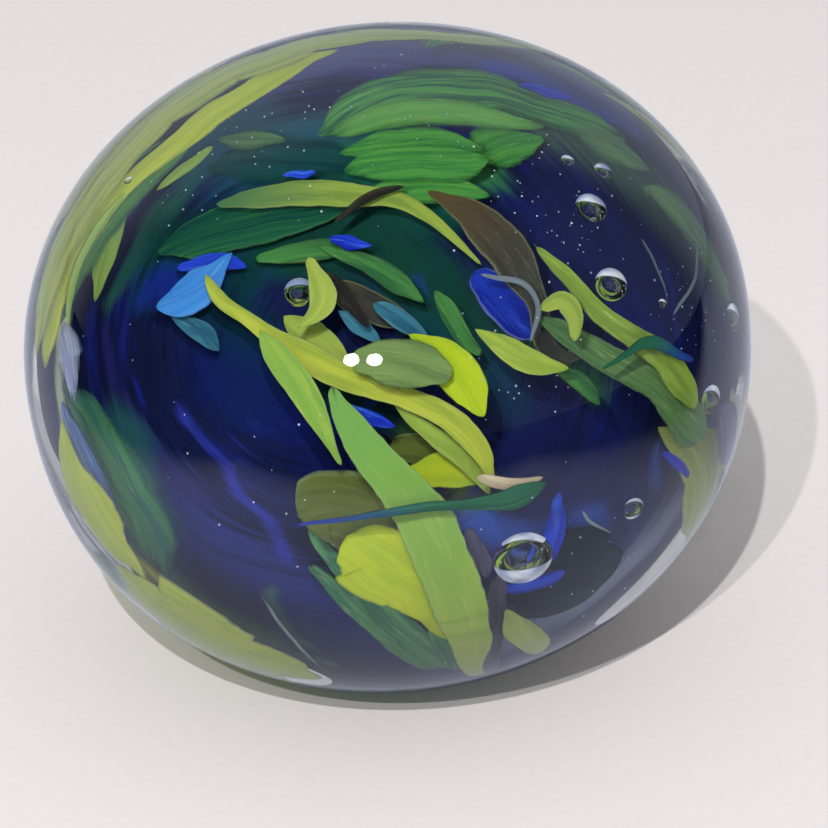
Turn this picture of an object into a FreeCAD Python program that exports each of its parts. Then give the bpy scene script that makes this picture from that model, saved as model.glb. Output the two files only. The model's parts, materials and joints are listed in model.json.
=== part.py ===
"""Handmade glass paperweight: a leaning clear dome around a cobalt core and ribbons of coloured glass.

Millimetres, +Z up. The origin is the centre of the flat ground base, and +Y points away from the front.
Every piece of coloured glass floats inside the clear casing, in a cavity of its own shape.
Places inside the glass are given as azimuth and elevation in degrees, seen from the dome's centre:
azimuth 0 is the front, positive azimuth turns to the right, and elevation 90 is the top.
"""

import FreeCAD
import Part
import math
import os

# The clear dome: a slightly squared ellipse turned about an axis that leans to the left.
DOME_RADIUS = 40.6
DOME_UPPER_HEIGHT = 35.0
DOME_LOWER_HEIGHT = 37.1
DOME_UPPER_POWER = 2.06
DOME_LOWER_POWER = 2.16
DOME_CENTRE_HEIGHT = 34.5
DOME_LEAN_DEG = 6.3
PROFILE_POINTS = 9
BASE_EDGE_ROUND = 0.5
ROOM_WIDTH = 3.0 * DOME_RADIUS

# The inner glass lies on flattened spheres, one inside the other, around the dome's centre.
INNER_FLATNESS = 0.88
CORE_RADIUS = 27.0
FIRST_LAYER_RADIUS = 28.0
LAYER_STEP = 1.2

# A ribbon's cross-section is a flat oval, bent to follow its layer.
RIBBON_HALF_THICKNESS = 0.35
THICKNESS_TO_WIDTH = 0.6
STATIONS_PER_SPAN = 3
OVAL_POLES = 8
SURFACE_DEGREE = 3

# Ribbons of coloured glass. A ribbon is (layer, path), and a path point is
# (azimuth in degrees, elevation in degrees, half width in mm). Layer 1 lies on the core.

TOP_RIBBONS = {
    "teal_wash": [
        (1, [(-71, 53, 1.2), (-57, 61, 2.8), (-37, 65, 2.9), (-12, 67, 1.2)]),
    ],
    "green_fan_crest": [
        (1, [(-39, 73, 0.7), (-44, 81, 1.7), (94, 86, 2.4), (105, 77, 2.6), (100, 69, 2.4),
             (99, 62, 2.1), (101, 54, 2.0), (101, 48, 1.8), (102, 40, 1.0)]),
    ],
    "green_fan_band": [
        (2, [(-27, 73, 0.6), (-4, 79, 1.2), (43, 78, 1.5), (66, 71, 1.3), (80, 60, 0.3)]),
    ],
    "green_fan_skirt": [
        (3, [(-17, 67, 0.4), (-2, 69, 1.2), (18, 69, 1.4), (35, 67, 1.2), (42, 65, 0.9)]),
        (4, [(-13, 63, 0.5), (0, 64, 1.1), (15, 64, 1.3), (29, 62, 1.3), (36, 60, 0.9)]),
        (3, [(-4, 58, 0.4), (6, 59, 0.8), (16, 59, 0.9), (25, 57, 1.0), (32, 56, 0.8)]),
        (1, [(50, 65, 1.0), (59, 63, 1.3), (70, 61, 1.1), (77, 59, 0.3)]),
    ],
    "dark_green_leaf": [
        (2, [(-60, 35, 0.4), (-53, 40, 1.7), (-45, 45, 2.1), (-35, 50, 2.1), (-24, 53, 1.5),
             (-12, 56, 0.3)]),
    ],
    "lime_leaf": [
        (5, [(-46, 48, 0.3), (-38, 52, 1.1), (-26, 55, 1.4), (-14, 56, 1.4), (-3, 56, 0.9),
             (5, 55, 0.7), (11, 52, 0.6), (16, 48, 0.4), (21, 42, 0.2)]),
    ],
    "small_green_leaves": [
        (2, [(-31, 41, 0.4), (-25, 44, 0.9), (-16, 46, 1.0), (-9, 46, 0.4)]),
        (3, [(-15, 45, 0.3), (-3, 43, 0.8), (4, 39, 1.1), (7, 36, 0.3)]),
        (3, [(12, 36, 0.3), (14, 33, 0.8), (15, 29, 0.7), (18, 25, 0.3)]),
        (3, [(35, 18, 0.4), (37, 16, 0.8), (40, 13, 0.7), (41, 10, 0.2)]),
    ],
    "green_smears": [
        (3, [(88, 52, 0.8), (88, 47, 2.1), (89, 43, 1.7), (91, 39, 0.4)]),
        (2, [(88, 36, 0.6), (89, 32, 1.9), (91, 26, 2.1), (92, 20, 1.6), (92, 14, 1.1),
             (93, 7, 0.6)]),
        (2, [(-78, 58, 0.6), (-68, 61, 1.2), (-58, 66, 0.6)]),
    ],
    "brown_threads": [
        (7, [(-11, 50, 0.2), (-9, 52, 0.3), (-4, 55, 0.4), (4, 56, 0.2)]),
        (6, [(-12, 39, 0.2), (-9, 38, 0.6), (-7, 35, 0.6), (-4, 32, 0.2)]),
    ],
}

CENTRE_RIBBONS = {
    "sky_blue_chip": [
        (3, [(-50, 26, 0.3), (-47, 29, 1.4), (-43, 31, 1.8), (-41, 35, 0.9), (-40, 39, 0.2)]),
    ],
    "cobalt_flecks": [
        (2, [(-51, 34, 0.3), (-46, 37, 0.8), (-42, 39, 0.7), (-37, 39, 0.2)]),
        (4, [(-12, 47, 0.3), (-9, 47, 0.8), (-6, 46, 0.4)]),
        (6, [(-31, 58, 0.2), (-28, 58, 0.5), (-25, 58, 0.3)]),
        (4, [(-7, 15, 0.3), (-3, 14, 0.8), (0, 12, 0.4)]),
        (2, [(110, 62, 0.5), (108, 58, 1.1), (108, 53, 0.5)]),
        (6, [(53, -4, 0.2), (56, -7, 0.6), (60, -11, 0.3)]),
    ],
    "teal_chips": [
        (2, [(-47, 24, 0.2), (-43, 24, 0.7), (-39, 24, 0.8), (-37, 22, 0.3)]),
        (4, [(-9, 31, 0.3), (-6, 32, 0.8), (-4, 30, 0.6), (-2, 29, 0.2)]),
        (4, [(-1, 34, 0.3), (2, 33, 0.9), (5, 31, 0.8), (8, 29, 0.3)]),
    ],
    "lime_stem": [
        (4, [(-40, 34, 0.2), (-36, 31, 0.6), (-30, 30, 0.5), (-25, 28, 0.7), (-18, 25, 1.2),
             (-12, 23, 1.4), (-6, 21, 1.2), (0, 19, 1.0), (7, 16, 1.0), (13, 12, 1.0),
             (17, 6, 0.8), (18, 0, 0.3)]),
    ],
    "lime_under_branch": [
        (3, [(2, 16, 0.2), (7, 11, 0.7), (12, 7, 0.9), (16, 2, 0.9), (18, -3, 0.3)]),
    ],
    "lime_down_branch": [
        (5, [(-24, 26, 0.6), (-19, 23, 1.3), (-15, 19, 1.3), (-12, 14, 1.0), (-10, 10, 0.5),
             (-8, 6, 0.2)]),
    ],
    "lime_blade": [
        (5, [(-9, 18, 0.2), (-7, 14, 1.0), (-4, 10, 1.6), (0, 4, 1.9), (4, -2, 2.2),
             (8, -10, 2.4), (11, -20, 2.5), (15, -30, 2.3), (18, -41, 1.7), (26, -58, 0.5)]),
    ],
    "yellow_pools": [
        (4, [(-8, -18, 0.5), (-4, -16, 2.3), (1, -18, 3.7), (6, -25, 3.4), (11, -34, 1.9),
             (16, -43, 0.6)]),
        (2, [(5, -1, 0.4), (8, 1, 1.2), (12, 2, 1.6), (16, 0, 1.3), (18, -1, 0.4)]),
    ],
    "olive_leaf": [
        (3, [(-14, -10, 1.4), (-10, -9, 3.6), (-5, -8, 4.1), (3, -9, 3.4), (10, -8, 1.3)]),
        (1, [(2, 4, 0.5), (6, 5, 1.3), (10, 5, 1.4), (14, 2, 0.5)]),
    ],
    "dark_green_threads": [
        (6, [(-13, -7, 0.2), (-4, -5, 0.3), (6, -3, 0.5), (14, -3, 0.5), (19, -3, 0.8),
             (26, -3, 1.5)]),
        (7, [(41, 18, 0.2), (47, 19, 0.3), (52, 19, 0.4), (55, 16, 0.5), (60, 12, 0.2)]),
    ],
    "grass_blades": [
        (2, [(-14, -15, 0.4), (-8, -25, 0.9), (0, -38, 1.3), (8, -49, 1.3), (21, -61, 0.6)]),
        (1, [(-14, -27, 0.4), (-8, -38, 1.0), (1, -51, 1.2), (16, -66, 0.7)]),
        (3, [(10, -38, 0.4), (15, -48, 1.0), (21, -58, 0.6)]),
    ],
    "lime_heart": [
        (5, [(6, 28, 0.3), (10, 26, 1.2), (14, 22, 1.9), (16, 18, 1.3), (16, 14, 0.3)]),
    ],
    "olive_oval": [
        (6, [(-4, 24, 0.4), (-1, 25, 1.9), (3, 24, 2.4), (7, 23, 2.0), (10, 21, 0.6)]),
    ],
    "lime_shards": [
        (7, [(-16, 41, 0.3), (-13, 38, 0.8), (-11, 35, 0.8), (-13, 32, 0.4), (-15, 31, 0.2)]),
        (3, [(-20, 30, 0.5), (-16, 28, 1.3), (-13, 27, 1.4), (-8, 26, 0.8)]),
        (7, [(32, 31, 0.2), (35, 32, 0.5), (37, 31, 0.7), (37, 27, 0.6), (36, 25, 0.2)]),
    ],
    "smoky_ribbon": [
        (4, [(16, 56, 0.3), (25, 51, 1.4), (29, 46, 2.0), (30, 40, 1.9), (32, 35, 1.1),
             (33, 31, 0.8), (32, 27, 0.7), (31, 24, 0.7), (33, 21, 0.4), (39, 20, 0.2)]),
        (2, [(-13, 39, 0.4), (-8, 37, 1.4), (-1, 34, 1.4), (4, 31, 0.7)]),
    ],
    "bright_cobalt_blob": [
        (3, [(22, 38, 0.5), (25, 36, 1.7), (28, 32, 2.0), (29, 28, 1.1), (29, 25, 0.3)]),
    ],
    "lime_hook": [
        (5, [(19, 28, 0.3), (22, 26, 0.9), (25, 24, 1.1), (28, 21, 1.0), (31, 20, 0.6),
             (33, 19, 0.2)]),
    ],
    "dark_teal_lens": [
        (1, [(29, -36, 1.4), (35, -36, 4.8), (43, -35, 6.6), (50, -34, 5.0), (54, -32, 1.8)]),
    ],
    "cobalt_flames": [
        (3, [(32, -9, 0.3), (33, -15, 0.9), (32, -20, 1.4), (30, -24, 0.8)]),
        (2, [(25, -32, 0.6), (31, -33, 1.1), (38, -33, 0.8)]),
    ],
    "smoky_column": [
        (3, [(22, -27, 0.7), (25, -39, 0.9), (29, -52, 0.9), (38, -63, 0.6)]),
        (4, [(15, -12, 0.2), (16, -15, 0.7), (18, -19, 0.7), (19, -23, 0.2)]),
    ],
    "lime_foot": [
        (4, [(26, -36, 0.3), (32, -44, 1.5), (46, -53, 0.9)]),
    ],
    "cream_sliver": [
        (5, [(17, 1, 0.3), (20, -1, 0.5), (23, -1, 0.4), (26, -1, 0.2)]),
    ],
    "pale_threads": [
        (6, [(22, 38, 0.3), (25, 37, 0.36), (29, 37, 0.36), (31, 34, 0.36), (31, 30, 0.36),
             (28, 27, 0.3)]),
        (6, [(63, 33, 0.3), (62, 29, 0.36), (61, 23, 0.3)]),
        (6, [(78, 26, 0.3), (71, 22, 0.36), (62, 21, 0.3)]),
        (6, [(35, -11, 0.3), (37, -13, 0.36), (41, -16, 0.3)]),
        (6, [(-23, -27, 0.36), (-20, -38, 0.4), (-16, -51, 0.36)]),
    ],
}

RIGHT_RIBBONS = {
    "lime_streamer": [
        (6, [(36, 40, 0.2), (39, 36, 0.7), (41, 31, 0.8), (43, 27, 0.9), (49, 20, 1.0),
             (54, 15, 1.3), (58, 9, 1.6), (61, 3, 0.8)]),
    ],
    "green_streamer": [
        (5, [(32, 29, 0.3), (35, 26, 0.9), (39, 22, 1.0), (44, 17, 1.1), (50, 13, 1.3),
             (55, 7, 1.6), (59, 2, 1.9), (64, -7, 1.6)]),
    ],
    "lime_side_pool": [
        (4, [(55, -1, 0.4), (60, -5, 1.2), (67, -11, 2.1), (73, -19, 3.2), (76, -25, 3.4),
             (77, -30, 2.6), (78, -35, 1.1)]),
    ],
    "pale_side_veil": [
        (6, [(75, -4, 1.0), (79, -9, 2.8), (80, -15, 3.2), (79, -21, 1.6)]),
    ],
    "purple_lens": [
        (7, [(69, -2, 0.5), (72, -6, 1.9), (74, -11, 2.3), (75, -16, 0.9)]),
    ],
}

LEFT_RIBBONS = {
    "lime_rim_band": [
        (6, [(-133, 77, 1.2), (-102, 71, 2.5), (-86, 64, 2.6), (-79, 57, 2.4), (-79, 50, 2.2),
             (-78, 42, 2.0), (-78, 34, 1.9), (-77, 25, 2.0), (-76, 17, 2.1), (-76, 10, 2.1),
             (-76, 4, 1.0)]),
    ],
    "outer_rim_band": [
        (7, [(133, 53, 1.6), (152, 74, 1.7), (-146, 73, 3.2), (-118, 65, 4.0), (-102, 57, 4.2),
             (-93, 47, 4.2), (-89, 38, 4.2), (-86, 29, 3.8), (-83, 20, 3.6), (-80, 12, 3.2),
             (-78, 5, 1.5)]),
        (5, [(-135, 52, 2.4), (-122, 43, 4.6), (-116, 32, 6.0), (-111, 23, 5.6),
             (-105, 15, 3.6), (-98, 9, 1.4)]),
    ],
    "green_rim_band": [
        (4, [(-82, 53, 0.9), (-82, 46, 1.7), (-82, 39, 2.0), (-83, 30, 2.2), (-82, 22, 2.2),
             (-80, 16, 1.8), (-77, 10, 0.8)]),
    ],
    "lime_rim_slivers": [
        (7, [(-74, 38, 0.2), (-74, 32, 0.6), (-73, 26, 0.7), (-71, 20, 0.6), (-68, 16, 0.3)]),
        (3, [(-80, 35, 0.5), (-76, 30, 1.5), (-73, 25, 1.7), (-70, 20, 0.6)]),
        (3, [(-75, 44, 0.4), (-73, 49, 0.8), (-72, 54, 0.4)]),
    ],
    "lilac_cluster": [
        (4, [(-75, 9, 1.0), (-70, 6, 2.2), (-66, 2, 1.0)]),
    ],
    "green_side_veil": [
        (3, [(-72, -2, 0.9), (-62, -4, 2.8), (-57, -10, 4.0), (-53, -18, 3.8), (-52, -28, 2.0),
             (-53, -36, 0.8)]),
    ],
    "pale_blue_lens": [
        (5, [(-68, -3, 0.6), (-62, -8, 1.7), (-58, -14, 2.0), (-55, -20, 0.6)]),
    ],
    "lime_lower_band": [
        (6, [(-65, -5, 0.7), (-65, -12, 2.3), (-63, -18, 3.7), (-59, -22, 4.2), (-55, -26, 3.2),
             (-51, -29, 1.2)]),
        (5, [(-58, -35, 1.6), (-56, -42, 4.6), (-51, -47, 5.2), (-42, -50, 5.2),
             (-33, -53, 4.2), (-23, -54, 2.0)]),
    ],
    "amber_patch": [
        (4, [(-58, -28, 0.9), (-57, -32, 2.6), (-55, -36, 2.4), (-52, -39, 0.8)]),
    ],
}

BACK_RIBBONS = {
    "lime_back_sweep": [
        (6, [(-122, 52, 0.8), (-135, 36, 2.6), (-150, 16, 3.4), (-162, -6, 3.0),
             (-170, -26, 1.8), (-176, -42, 0.7)]),
    ],
    "green_back_sweep": [
        (4, [(-112, 42, 0.8), (-120, 22, 2.6), (-132, 0, 3.2), (-146, -20, 2.6),
             (-160, -36, 0.9)]),
    ],
    "green_back_fan": [
        (2, [(160, 68, 0.8), (150, 48, 2.6), (148, 26, 3.2), (156, 4, 2.6), (170, -12, 0.8)]),
        (3, [(130, 52, 0.6), (124, 34, 2.0), (126, 14, 2.4), (134, -6, 1.8), (146, -22, 0.6)]),
        (2, [(-166, 60, 0.6), (-176, 38, 1.8), (178, 18, 2.2), (-176, -2, 1.6),
             (-164, -20, 0.6)]),
    ],
    "teal_back_veil": [
        (1, [(118, 20, 1.0), (126, -2, 4.0), (140, -22, 4.6), (160, -40, 3.2), (-170, -52, 1.0)]),
        (1, [(-104, 30, 1.0), (-108, 8, 3.6), (-112, -14, 4.0), (-108, -34, 2.4),
             (-96, -46, 0.8)]),
    ],
    "sky_blue_back_swirl": [
        (5, [(172, 56, 0.4), (168, 40, 1.2), (172, 24, 1.6), (-176, 12, 1.2), (-166, 6, 0.5)]),
        (4, [(104, 8, 0.4), (108, -6, 1.2), (116, -18, 1.4), (128, -28, 0.5)]),
    ],
    "lime_back_streamers": [
        (5, [(96, -14, 0.4), (102, -26, 1.3), (114, -38, 1.6), (132, -48, 0.6)]),
        (5, [(112, 46, 0.3), (108, 32, 1.0), (110, 18, 1.1), (118, 6, 0.4)]),
    ],
    "underside_swirl": [
        (2, [(-70, -52, 0.8), (-90, -60, 2.0), (-125, -66, 2.4), (-170, -68, 2.0),
             (140, -64, 0.8)]),
        (4, [(60, -58, 0.5), (85, -62, 1.4), (120, -60, 1.4), (150, -54, 0.5)]),
    ],
}

# Air bubbles are round cavities: (azimuth, elevation, layer radius of the centre, radius).
BUBBLES = [
    (24, -17, 34.4, 3.0),
    (46, 31, 36.4, 1.8),
    (52, 44, 36.2, 1.7),
    (63, 3, 36.8, 1.6),
    (77, 12, 36.4, 1.5),
    (-18, 36, 33.0, 1.5),
    (45, -12, 35.0, 1.2),
    (64, 48, 36.2, 1.0),
    (57, 53, 36.2, 0.7),
    (56, 24, 36.4, 0.5),
    (-74, 42, 37.2, 0.5),
    (150, 30, 36.0, 1.4),
    (-140, -14, 36.6, 1.2),
    (120, -10, 36.0, 1.0),
]


def direction(azimuth, elevation):
    """Unit vector from the dome's centre."""
    a = math.radians(azimuth)
    e = math.radians(elevation)
    return FreeCAD.Vector(math.sin(a) * math.cos(e), -math.cos(a) * math.cos(e), math.sin(e))


def on_layer(unit, radius):
    """The point of a flattened sphere of this radius in the direction of a unit vector."""
    return FreeCAD.Vector(
        radius * unit.x,
        radius * unit.y,
        DOME_CENTRE_HEIGHT + INNER_FLATNESS * radius * unit.z,
    )


def dome_profile(height, power):
    """Points of a superellipse quarter from the rim (x = radius) to the pole (x = 0)."""
    points = []
    for i in range(PROFILE_POINTS):
        t = 0.5 * math.pi * i / (PROFILE_POINTS - 1)
        x = DOME_RADIUS * max(0.0, math.cos(t)) ** (2.0 / power)
        z = height * math.sin(t) ** (2.0 / power)
        points.append(FreeCAD.Vector(x if i < PROFILE_POINTS - 1 else 0.0, 0, z))
    return points


def solid_dome():
    """The clear dome without its cavities, ground flat underneath."""
    upper = dome_profile(DOME_UPPER_HEIGHT, DOME_UPPER_POWER)
    lower = [FreeCAD.Vector(p.x, 0, -p.z) for p in dome_profile(DOME_LOWER_HEIGHT, DOME_LOWER_POWER)]
    outline = Part.BSplineCurve()
    outline.interpolate(list(reversed(lower)) + upper[1:])
    axis = Part.LineSegment(upper[-1], lower[-1])
    face = Part.Face(Part.Wire([outline.toShape(), axis.toShape()]))
    dome = face.revolve(FreeCAD.Vector(0, 0, 0), FreeCAD.Vector(0, 0, 1), 360)
    dome.rotate(FreeCAD.Vector(0, 0, 0), FreeCAD.Vector(0, 1, 0), -DOME_LEAN_DEG)
    dome.translate(FreeCAD.Vector(0, 0, DOME_CENTRE_HEIGHT))
    corner = FreeCAD.Vector(-0.5 * ROOM_WIDTH, -0.5 * ROOM_WIDTH, 0)
    room = Part.makeBox(ROOM_WIDTH, ROOM_WIDTH, ROOM_WIDTH, corner)
    ground = dome.common(room).Solids[0]
    return ground.makeFillet(BASE_EDGE_ROUND, base_face(ground).Edges)


def base_face(solid):
    """The flat face on the table."""
    flat = [f for f in solid.Faces if isinstance(f.Surface, Part.Plane)]
    return min(flat, key=lambda f: f.CenterOfMass.z)


def smooth_step(a, b, share):
    """A value that eases from a to b."""
    return a + (b - a) * share * share * (3.0 - 2.0 * share)


def stations(path):
    """(unit direction, unit direction across, half width) at close steps along a ribbon."""
    curve = Part.BSplineCurve()
    knots = [direction(azimuth, elevation) for azimuth, elevation, _ in path]
    curve.interpolate(knots)
    parameters = [curve.parameter(k) for k in knots]
    places = []
    for i in range(len(path) - 1):
        last = i == len(path) - 2
        for step in range(STATIONS_PER_SPAN + (1 if last else 0)):
            share = step / STATIONS_PER_SPAN
            u = parameters[i] + share * (parameters[i + 1] - parameters[i])
            out = curve.value(u).normalize()
            across = out.cross(curve.tangent(u)[0]).normalize()
            places.append((out, across, smooth_step(path[i][2], path[i + 1][2], share)))
    return places


def oval_poles(out, across, half_width, radius):
    """Control points around a ribbon's oval. The cubic curve runs inside them, so they stand proud of it."""
    step = 2.0 * math.pi / OVAL_POLES
    proud = 3.0 / (2.0 + math.cos(step))
    half_thickness = min(RIBBON_HALF_THICKNESS, THICKNESS_TO_WIDTH * half_width)
    poles = []
    for i in range(OVAL_POLES):
        turn = proud * half_width * math.cos(i * step) / radius
        unit = out * math.cos(turn) + across * math.sin(turn)
        poles.append(on_layer(unit, radius + proud * half_thickness * math.sin(i * step)))
    return poles


def ribbon(layer, path):
    """One strand of coloured glass: a closed tube through its ovals, with a small flat cap at each tip."""
    radius = FIRST_LAYER_RADIUS + (layer - 1) * LAYER_STEP
    rings = [oval_poles(out, across, width, radius) for out, across, width in stations(path)]
    spans = len(rings) - SURFACE_DEGREE
    side = Part.BSplineSurface()
    side.buildFromPolesMultsKnots(
        list(zip(*rings)),
        [1] * (OVAL_POLES + 1),
        [SURFACE_DEGREE + 1] + [1] * (spans - 1) + [SURFACE_DEGREE + 1],
        list(range(OVAL_POLES + 1)),
        list(range(spans + 1)),
        True,
        False,
        SURFACE_DEGREE,
        SURFACE_DEGREE,
    )
    tube = side.toShape()
    tips = [edge for edge in tube.Edges if edge.isClosed()]
    caps = [Part.Face(Part.Wire([edge])) for edge in tips]
    shell = Part.makeShell([tube] + caps)
    shell.sewShape()
    solid = Part.makeSolid(shell)
    if solid.Volume < 0:
        solid.reverse()
    return solid


def cobalt_core():
    """The flattened ball of dark blue glass in the middle."""
    ball = Part.makeSphere(CORE_RADIUS)
    squash = FreeCAD.Matrix()
    squash.scale(1.0, 1.0, INNER_FLATNESS)
    core = ball.transformGeometry(squash)
    core.translate(FreeCAD.Vector(0, 0, DOME_CENTRE_HEIGHT))
    return core


def bubble(azimuth, elevation, layer_radius, radius):
    """The cavity of one air bubble."""
    return Part.makeSphere(radius, on_layer(direction(azimuth, elevation), layer_radius))


def clear_casing(dome, fillings):
    """The dome with a sealed cavity for every filling, made of its own surface turned inside out."""
    shells = [dome.Shells[0]]
    for filling in fillings:
        shells += [solid.Shells[0].reversed() for solid in filling.Solids]
    return Part.makeSolid(Part.makeCompound(shells))


def coloured_glass():
    """Node name to shape, for every piece of coloured glass."""
    pieces = {"cobalt_core": cobalt_core()}
    for group in (TOP_RIBBONS, CENTRE_RIBBONS, RIGHT_RIBBONS, LEFT_RIBBONS, BACK_RIBBONS):
        for name, strands in group.items():
            solids = [ribbon(layer, path) for layer, path in strands]
            pieces[name] = solids[0] if len(solids) == 1 else Part.makeCompound(solids)
    return pieces


def main():
    dome = solid_dome()
    pieces = coloured_glass()
    bubbles = [bubble(*place) for place in BUBBLES]
    pieces["clear_casing"] = clear_casing(dome, list(pieces.values()) + bubbles)
    foot = base_face(dome).CenterOfMass
    os.makedirs("parts", exist_ok=True)
    for name, shape in pieces.items():
        shape.translate(FreeCAD.Vector(-foot.x, -foot.y, 0))
        shape.exportStep("parts/" + name + ".step")


main()
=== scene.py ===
"""Looks of the handmade glass paperweight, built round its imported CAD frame. Metres, +Z up, front at -Y."""

import heapq
import json
import math
import random

import bmesh
import bpy
import numpy as np
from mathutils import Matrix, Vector, noise


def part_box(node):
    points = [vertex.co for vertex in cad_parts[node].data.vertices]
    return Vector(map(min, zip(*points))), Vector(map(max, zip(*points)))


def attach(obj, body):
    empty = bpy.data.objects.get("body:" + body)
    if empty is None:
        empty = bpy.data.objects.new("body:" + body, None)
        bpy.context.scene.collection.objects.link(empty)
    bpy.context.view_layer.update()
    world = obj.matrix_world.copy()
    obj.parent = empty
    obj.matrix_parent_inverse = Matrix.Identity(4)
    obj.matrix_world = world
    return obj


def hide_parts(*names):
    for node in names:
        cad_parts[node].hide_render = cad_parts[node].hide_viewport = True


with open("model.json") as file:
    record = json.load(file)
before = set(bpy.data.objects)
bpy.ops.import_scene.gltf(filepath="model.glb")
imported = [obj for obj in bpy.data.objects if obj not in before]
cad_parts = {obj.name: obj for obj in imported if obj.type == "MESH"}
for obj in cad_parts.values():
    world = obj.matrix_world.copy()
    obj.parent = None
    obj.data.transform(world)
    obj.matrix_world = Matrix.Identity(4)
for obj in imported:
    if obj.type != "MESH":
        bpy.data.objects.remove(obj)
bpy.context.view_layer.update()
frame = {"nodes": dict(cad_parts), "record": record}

MM = 0.001

# The clear dome, as in the frame: a slightly squared ellipse turned about a leaning axis, cut flat at z = 0.
DOME_UPPER_HEIGHT = 35.0 * MM
DOME_LOWER_HEIGHT = 37.1 * MM
DOME_UPPER_POWER = 2.06
DOME_LOWER_POWER = 2.16
DOME_LEAN = math.radians(6.3)
DOME_RINGS = 150
DOME_SPOKES = 256
BASE_RINGS = 10
CORE_RINGS = 160
CORE_SPOKES = 320

# The inner glass lies on flattened spheres around the dome's centre.
INNER_FLATNESS = 0.88
core_low, core_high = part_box("cobalt_core")
casing_low, casing_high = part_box("clear_casing")
CENTRE = (core_low + core_high) / 2
CORE_RADIUS = (core_high.x - core_low.x) / 2
DOME_RADIUS = (casing_high.y - casing_low.y) / 2
SQUASH = np.array([1.0, 1.0, INNER_FLATNESS])

# The swirl turns about this direction, seen from the dome's centre.
SWIRL_AZIMUTH = -16.0
SWIRL_ELEVATION = 32.0

# How a strand of coloured glass is traced from its CAD mesh and drawn again in finer detail.
WELD = 0.002 * MM
CELL = 0.7 * MM
TRACE_STEP = 1.3 * MM
STATION_STEP = 0.35 * MM
TIP_REACH = 0.9 * MM
RING = 24
DEFAULT_SPREAD = 1.12

# A redrawn strand wavers from side to side, has ragged edges and rises and sinks: each time how much, as a
# share of its half width or in metres, and over what length.
SWAY = 0.15
SWAY_LENGTH = 7.0 * MM
RAGGED = 0.035
RAGGED_LENGTH = 1.6 * MM
LIFT = 0.12 * MM
LIFT_LENGTH = 3.0 * MM
THICKNESS = 0.28 * MM
THICKNESS_TO_WIDTH = 0.7
TIP_WIDTH = 0.08

# A strand's ends narrow over this many half widths, and its streaks start this many millimetres aside.
TIP_LENGTHS = (0.9, 3.2)
ROUND_TIP_LENGTH = 0.4
STREAK_STARTS = (0, 40)

# The visible core, as a share of the CAD core's radius, and the height of the soft waves on it.
CORE_SHARE = 0.995
CORE_WAVES = 0.006
# The outlines of the core's stains and patches of painted light use Blender's vector noise, which follows the
# clock unless a seed is set.
STAIN_AND_PAINTED_LIGHT_SEED = 2

# Round cavities in the casing that are smaller than this are air bubbles.
LARGEST_BUBBLE = 8 * MM
BUBBLE_FLATNESS = 0.92

# The fine seeds lie between the core and the dome's surface.
SEED_RADII = (0.05 * MM, 0.14 * MM)
SEED_LAYERS = (28.5 * MM, 35.5 * MM)

# The camera looks down at this angle, and these are its forward and upward directions.
VIEW_PITCH = math.radians(26.26)
VIEW_FORWARD = Vector((0, math.cos(VIEW_PITCH), -math.sin(VIEW_PITCH)))
VIEW_UP = Vector((0, math.sin(VIEW_PITCH), math.cos(VIEW_PITCH)))
CAMERA_FROM_CENTRE = Vector((3.0, -355.5, 166.7)) * MM
SENSOR_MM = 36.0
LENS_MM = 152.17
NEAREST_SEEN = 0.01

# Bubbles lower than this, measured from the dome's centre, show their painted crescent of reflected light at
# the foot.
LOW_BUBBLE = -7.0 * MM

# Lamps are (name, azimuth, elevation, watts). The glass doesn't mirror them, but it mirrors the spots,
# which are (name, azimuth, elevation).
LAMP_DISTANCE = 1.7
LAMP_RADIUS = 0.010
LAMP_COLOUR = (1.0, 0.975, 0.95)
LAMPS = [("lamp_left", -14.4, 37.3, 42.0), ("lamp_right", -7.9, 43.1, 66.0)]
SPOT_RADIUS = 0.07
SPOT_STRENGTH = 30.0
SPOTS = [("spot_left", -13.3, 31.1), ("spot_right", -5.4, 31.4)]

# The room's light, and what the dome mirrors of the room and of the paper.
ROOM_LIGHT = (0.43, 0.427, 0.435, 1)
MIRRORED_DARK = (0.014, 0.014, 0.018, 1)
MIRRORED_WALL = (0.50, 0.53, 0.66, 1)
MIRRORED_PAPER = (0.66, 0.69, 0.84, 1)
MIRRORED_PAPER_END = (0.02, 0.02, 0.025, 1)

# The mirrored paper fades out between these distances, and it widens towards the back.
PAPER_SIDES = (0.08, 0.16)
PAPER_FRONT = (0.09, 0.19)
PAPER_WIDENING = 1.8

# The dome's shadow turns from olive to dark green to grey from left to right, between these places.
SHADOW_LEFT = (-0.03, 0.0)
SHADOW_RIGHT = (0.0, 0.025)

FLOOR_HALF_WIDTH = 4.0
FLOOR_DROP = 0.1 * MM


def direction(azimuth, elevation):
    """Unit vector from the dome's centre: azimuth 0 is the front, positive to the right."""
    a = math.radians(azimuth)
    e = math.radians(elevation)
    return Vector((math.sin(a) * math.cos(e), -math.cos(a) * math.cos(e), math.sin(e)))


def colour(code):
    """Linear RGBA from a hex sRGB code."""
    channels = [int(code[i : i + 2], 16) / 255 for i in (0, 2, 4)]
    linear = [c / 12.92 if c <= 0.04045 else ((c + 0.055) / 1.055) ** 2.4 for c in channels]
    return (*linear, 1.0)


# ---------------------------------------------------------------- material helpers


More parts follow.
